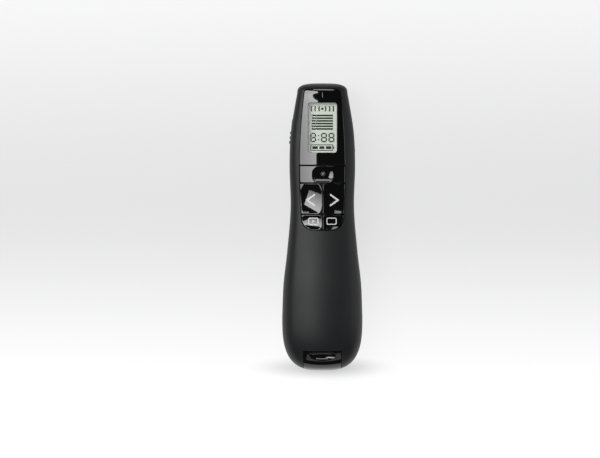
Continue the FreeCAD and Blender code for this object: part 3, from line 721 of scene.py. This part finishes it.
display = dict(level=19.4, lift=0.03, bars=6, barHalf=4.88, barTop=51.2, barPitch=1.235, barThick=0.78,
               dotY=54.3, dot=0.6, arcs=((1.6, 0.75), (3.4, 0.36), (5.1, 0.25)), arcThick=0.6,
               digits=((-5.5, -2.9), (-0.65, 2.1), (2.8, 5.55)), digitLow=38.9, digitHigh=43.2,
               digitThick=0.62, digitGap=0.07, colonX=-1.75, colonDot=0.3, colonInset=1.25,
               cellLeft=-5.3, cellRight=4.75, cellLow=35.15, cellHigh=37.7, cellCorner=0.25, cellThick=0.36,
               tipX=5.15, tipThick=0.5, tipInset=0.75,
               charges=((-4.6, -2.1), (-1.4, 0.9), (1.6, 4.1)), chargeInset=0.62)


def digit(left, right, low, high):
    # the seven bars of one digit, as six sided outlines
    middle = (low + high) / 2
    thick, gap = display["digitThick"], display["digitGap"]

    def across(y):
        h = thick / 2
        a, b = left + h + gap, right - h - gap
        return [(a, y), (a + h, y - h), (b - h, y - h), (b, y), (b - h, y + h), (a + h, y + h)]

    def upright(x, bottom, top):
        h = thick / 2
        a, b = bottom + gap, top - gap
        return [(x, a), (x + h, a + h), (x + h, b - h), (x, b), (x - h, b - h), (x - h, a + h)]

    h = thick / 2
    shapes = [across(low + h), across(middle), across(high - h)]
    for x in (left + h, right - h):
        shapes += [upright(x, low + h, middle), upright(x, middle, high - h)]
    return shapes


def makeDisplay():
    level = display["level"]

    def flat(x, y):
        return level

    lift = display["lift"]
    shapes = [filled(ringPath(0, display["dotY"], display["dot"]), flat, lift)]
    for radius, reach in display["arcs"]:
        for side in (0, math.pi):
            path = ringPath(0, display["dotY"], radius, 12, side - reach, side + reach, False)
            shapes.append(strip(path, display["arcThick"], flat, lift))
    for i in range(display["bars"]):
        y = display["barTop"] - i * display["barPitch"]
        half = display["barHalf"]
        shapes.append(strip([(-half, y), (half, y)], display["barThick"], flat, lift))
    low, high = display["digitLow"], display["digitHigh"]
    for left, right in display["digits"]:
        shapes += [filled(path, flat, lift) for path in digit(left, right, low, high)]
    for y in (low + display["colonInset"], high - display["colonInset"]):
        shapes.append(filled(ringPath(display["colonX"], y, display["colonDot"], 16), flat, lift))
    low, high = display["cellLow"], display["cellHigh"]
    cell = framePath(display["cellLeft"], display["cellRight"], low, high, display["cellCorner"])
    shapes.append(strip(cell, display["cellThick"], flat, lift, True))
    tip = [(display["tipX"], low + display["tipInset"]), (display["tipX"], high - display["tipInset"])]
    shapes.append(strip(tip, display["tipThick"], flat, lift))
    low, high = low + display["chargeInset"], high - display["chargeInset"]
    for left, right in display["charges"]:
        shapes.append(filled([(left, low), (right, low), (right, high), (left, high)], flat, lift))
    printed("display_segments", shapes, segmentDark, "clicker")


makeDisplay()
print("stage: marks and display made")


# receiver in its dock

stick = dict(half=8.6, low=16.65, high=23.6, head=-37.0, grip=-57.0, corner=1.1, tailCorner=0.2,
             bodyCorner=0.6, overlap=1.0, pastTail=-70.0, pastTop=40.0, scoopLevelAt=-58.9, scoopY=-59.5,
             scoopLift=0.75, scoopRadii=(7.5, 2.9, 2.6))


def objectOf(mesh):
    item = bpy.data.objects.new("work", mesh)
    bpy.context.scene.collection.objects.link(item)
    return item


def combined(first, second, operation):
    a, b = objectOf(first), objectOf(second)
    modifier = a.modifiers.new("combine", "BOOLEAN")
    modifier.object = b
    modifier.operation = operation
    modifier.solver = "EXACT"
    graph = bpy.context.evaluated_depsgraph_get()
    result = bpy.data.meshes.new_from_object(a.evaluated_get(graph))
    for item in (a, b):
        bpy.data.objects.remove(item)
    return result


def prism(outline, low, high):
    count = len(outline)
    points = [(x, y, low) for x, y in outline] + [(x, y, high) for x, y in outline]
    faces = [tuple(reversed(range(count))), tuple(range(count, 2 * count))]
    for j in range(count):
        k = (j + 1) % count
        faces.append((j, k, count + k, count + j))
    mesh = bpy.data.meshes.new("prism")
    mesh.from_pydata(points, [], faces)
    return mesh


def ellipsoid(x, y, z, a, b, c):
    work = bmesh.new()
    bmesh.ops.create_uvsphere(work, u_segments=64, v_segments=32, radius=1.0)
    mesh = bpy.data.meshes.new("ellipsoid")
    work.to_mesh(mesh)
    work.free()
    mesh.transform(Matrix.Translation((x, y, z)) @ Matrix.Diagonal((a, b, c, 1)))
    return mesh


def makeReceiver():
    # the grip is a slice of the form, the body behind it a plain block, and the scoop a bowl for a finger
    half, corner, tailCorner = stick["half"], stick["corner"], stick["tailCorner"]
    outline = rounded(lambda y: -half, lambda y: half, stick["pastTail"], stick["grip"],
                      (tailCorner, corner, corner, tailCorner))
    grip = combined(smoothForm.copy(), prism(outline, stick["low"], stick["pastTop"]), "INTERSECT")
    bodyOutline = rounded(lambda y: -half, lambda y: half, stick["grip"] - stick["overlap"], stick["head"],
                          [stick["bodyCorner"]] * 4)
    grip = combined(grip, prism(bodyOutline, stick["low"], stick["high"]), "UNION")
    level = skinTop(0, stick["scoopLevelAt"]) + stick["scoopLift"]
    grip = combined(grip, ellipsoid(0, stick["scoopY"], level, *stick["scoopRadii"]), "DIFFERENCE")
    grip.transform(toRow)
    work = bmesh.new()
    work.from_mesh(grip)
    bmesh.ops.remove_doubles(work, verts=work.verts, dist=1e-6)
    flags = [isSkin(f, near=0.00003, alike=0.97) for f in work.faces]
    mesh = bpy.data.meshes.new("receiver_case")
    work.to_mesh(mesh)
    work.free()
    setNormals(mesh, flags)
    addPiece("receiver_case", mesh, materials["gloss_black"], "receiver", ("receiver_shell",))


makeReceiver()
print("stage: receiver made")


# the CAD nodes that stay: one material each, and shading that is smooth across shallow edges

def softShading():
    group = bpy.data.node_groups.new("softShading", "GeometryNodeTree")
    group.interface.new_socket("Geometry", in_out="INPUT", socket_type="NodeSocketGeometry")
    group.interface.new_socket("Geometry", in_out="OUTPUT", socket_type="NodeSocketGeometry")
    start = addNode(group, "NodeGroupInput")
    bare = addNode(group, "GeometryNodeRemoveAttribute", {"Name": "custom_normal"},
                   {"Geometry": start.outputs[0]})
    welded = addNode(group, "GeometryNodeMergeByDistance", {"Distance": 2e-6}, {"Geometry": bare.outputs[0]})
    smooth = addNode(group, "GeometryNodeSetShadeSmooth", links={"Geometry": welded.outputs[0]},
                     domain="FACE")
    angle = addNode(group, "GeometryNodeInputMeshEdgeAngle")
    shallow = addNode(group, "FunctionNodeCompare", {"B": math.radians(32)}, {"A": angle.outputs[0]},
                      operation="LESS_THAN")
    edges = addNode(group, "GeometryNodeSetShadeSmooth",
                    links={"Geometry": smooth.outputs[0], "Shade Smooth": shallow.outputs[0]}, domain="EDGE")
    addNode(group, "NodeGroupOutput", links={0: edges.outputs[0]})
    return group


shading = softShading()
for name, item in nodes.items():
    item.data.materials.clear()
    item.data.materials.append(materials[slotOf[name]])
    modifier = item.modifiers.new("softShading", "NODES")
    modifier.node_group = shading
print("stage: CAD nodes dressed")


# floor, light and camera

# the paper's glow is painted light falling off along its length, and its shadow is a painted soft shadow under the
# tail
paper = dict(reach=0.11, glow=((0.0, 1.0), (0.25, 0.92), (0.55, 0.585), (1.0, 0.90)), colour="#5c5c5c",
             shadowY=-0.0665, shadowX=0.0235, shadowDeep=0.0042, shadow=0.42, shadowReach=1.6, half=3.0,
             under=0.0001)


def studioPaper():
    # paper that glows: the glow carries painted light that falls off along the backdrop, and a matt grey takes the
    # contact shadow
    material, tree = emptyMaterial("studioPaper")
    spot = addNode(tree, "ShaderNodeTexCoord").outputs["Object"]
    axes = addNode(tree, "ShaderNodeSeparateXYZ", links={0: spot})
    share = addNode(tree, "ShaderNodeMapRange", {"From Min": -paper["reach"], "From Max": paper["reach"]},
                    {"Value": axes.outputs["Y"]})
    # painted light: brighter toward both ends of the backdrop and dimmest near the middle
    ramp = addNode(tree, "ShaderNodeValToRGB", links={"Fac": share.outputs["Result"]})
    ramp.color_ramp.interpolation = "B_SPLINE"
    stops = ramp.color_ramp.elements
    while len(stops) < len(paper["glow"]):
        stops.new(0.5)
    for stop, (place, level) in zip(stops, paper["glow"]):
        stop.position = place
        stop.color = (level, level, level * 1.004, 1)
    # the soft shadow under the tail is painted into the glow
    centred = addNode(tree, "ShaderNodeVectorMath", {1: (0, -paper["shadowY"], 0)}, {0: spot},
                      operation="ADD")
    scaled = addNode(tree, "ShaderNodeVectorMath", {1: (1 / paper["shadowX"], 1 / paper["shadowDeep"], 0)},
                     {0: centred.outputs[0]}, operation="MULTIPLY")
    away = addNode(tree, "ShaderNodeVectorMath", links={0: scaled.outputs[0]}, operation="LENGTH")
    fade = addNode(tree, "ShaderNodeMapRange",
                   {"From Min": 0.0, "From Max": paper["shadowReach"], "To Min": 1 - paper["shadow"],
                    "To Max": 1.0}, {"Value": away.outputs["Value"]}, interpolation_type="SMOOTHSTEP")
    glow = addNode(tree, "ShaderNodeEmission",
                   links={"Color": ramp.outputs["Color"], "Strength": fade.outputs["Result"]})
    fibre = addNode(tree, "ShaderNodeTexNoise", {"Scale": 1200.0, "Detail": 3.0}, {"Vector": spot})
    bump = addNode(tree, "ShaderNodeBump", {"Distance": 0.000003}, {"Height": fibre.outputs["Fac"]})
    matt = addNode(tree, "ShaderNodeBsdfDiffuse", {"Color": linear(paper["colour"])},
                   {"Normal": bump.outputs["Normal"]})
    both = addNode(tree, "ShaderNodeAddShader", links={0: glow.outputs["Emission"], 1: matt.outputs["BSDF"]})
    addNode(tree, "ShaderNodeOutputMaterial", links={"Surface": both.outputs["Shader"]})
    return material


def makeFloor():
    mesh = bpy.data.meshes.new("table_top")
    half = paper["half"]
    corners = [(-half, -half, 0), (half, -half, 0), (half, half, 0), (-half, half, 0)]
    mesh.from_pydata(corners, [], [(0, 1, 2, 3)])
    floor = bpy.data.objects.new("table_top", mesh)
    bpy.context.scene.collection.objects.link(floor)
    floor.location.z = -paper["under"]
    mesh.materials.append(studioPaper())


def lookAt(item, target):
    item.rotation_euler = (Vector(target) - item.location).to_track_quat("-Z", "Y").to_euler()


lamps = {
    "headLeft": dict(place=(-0.41, 0.16, 0.72), size=(0.36, 0.62), power=4.8, soft=0.5),
    "headSoft": dict(place=(0.03, 0.44, 0.72), size=(0.46, 0.20), power=1.3),
    "rightSide": dict(place=(0.80, 0.05, 0.40), size=(0.30, 0.7), power=1.3),
    "tailSide": dict(place=(0.05, -0.80, 0.55), size=(0.9, 0.4), power=0.8),
}
lampTarget = (0, 0, 0.01)


def softenLamp(data, soft):
    # the diffuser is dimmer toward one end, so that reflections in the gloss fade and don't stop dead
    data.use_nodes = True
    tree = data.node_tree
    tree.nodes.clear()
    across = addNode(tree, "ShaderNodeNewGeometry").outputs["Parametric"]
    axes = addNode(tree, "ShaderNodeSeparateXYZ", links={0: across})
    level = addNode(tree, "ShaderNodeMapRange", {"From Min": 0.0, "From Max": 1.0, "To Min": 1.0 + soft,
                                                 "To Max": 1.0 - soft}, {"Value": axes.outputs["X"]})
    glow = addNode(tree, "ShaderNodeEmission", links={"Strength": level.outputs["Result"]})
    addNode(tree, "ShaderNodeOutputLight", links={"Surface": glow.outputs["Emission"]})


def makeLamps():
    for name, lamp in lamps.items():
        data = bpy.data.lights.new(name, "AREA")
        data.shape = "RECTANGLE"
        data.size, data.size_y = lamp["size"]
        data.energy = lamp["power"]
        softenLamp(data, lamp.get("soft", 0.0))
        item = bpy.data.objects.new(name, data)
        bpy.context.scene.collection.objects.link(item)
        item.location = lamp["place"]
        lookAt(item, lampTarget)


surround = dict(light=(0.055, 0.055, 0.057, 1), seen=(0.86, 0.86, 0.87, 1))


def makeWorld():
    # the room lights the part dimly, and the camera sees it as pale as the paper
    world = bpy.data.worlds.new("studio")
    bpy.context.scene.world = world
    world.use_nodes = True
    tree = world.node_tree
    tree.nodes.clear()
    path = addNode(tree, "ShaderNodeLightPath")
    colour = addNode(tree, "ShaderNodeMix", {"A": surround["light"], "B": surround["seen"]},
                     {"Factor": path.outputs["Is Camera Ray"]}, data_type="RGBA")
    back = addNode(tree, "ShaderNodeBackground", links={"Color": colour.outputs["Result"]})
    addNode(tree, "ShaderNodeOutputWorld", links={"Surface": back.outputs["Background"]})


# the photograph's view: straight down on the face, its middle left of the body's middle
shot = dict(middleX=-10.3, middleY=-1.0, level=14.0, across=277.5, distance=1000.0)


def makeCamera():
    data = bpy.data.cameras.new("photo_camera")
    data.sensor_width = 36.0
    data.lens = data.sensor_width * shot["distance"] / shot["across"]
    data.clip_end = 20
    camera = bpy.data.objects.new("photo_camera", data)
    bpy.context.scene.collection.objects.link(camera)
    spot = toRow @ Vector((shot["middleX"], shot["middleY"], shot["level"] + shot["distance"]))
    camera.matrix_world = Matrix.Translation(spot) @ turn.to_4x4()
    bpy.context.scene.camera = camera


makeFloor()
makeLamps()
makeWorld()
makeCamera()
view = bpy.context.scene.view_settings
view.view_transform = "Standard"
view.look = "None"
print("stage: floor, lamps and camera set")
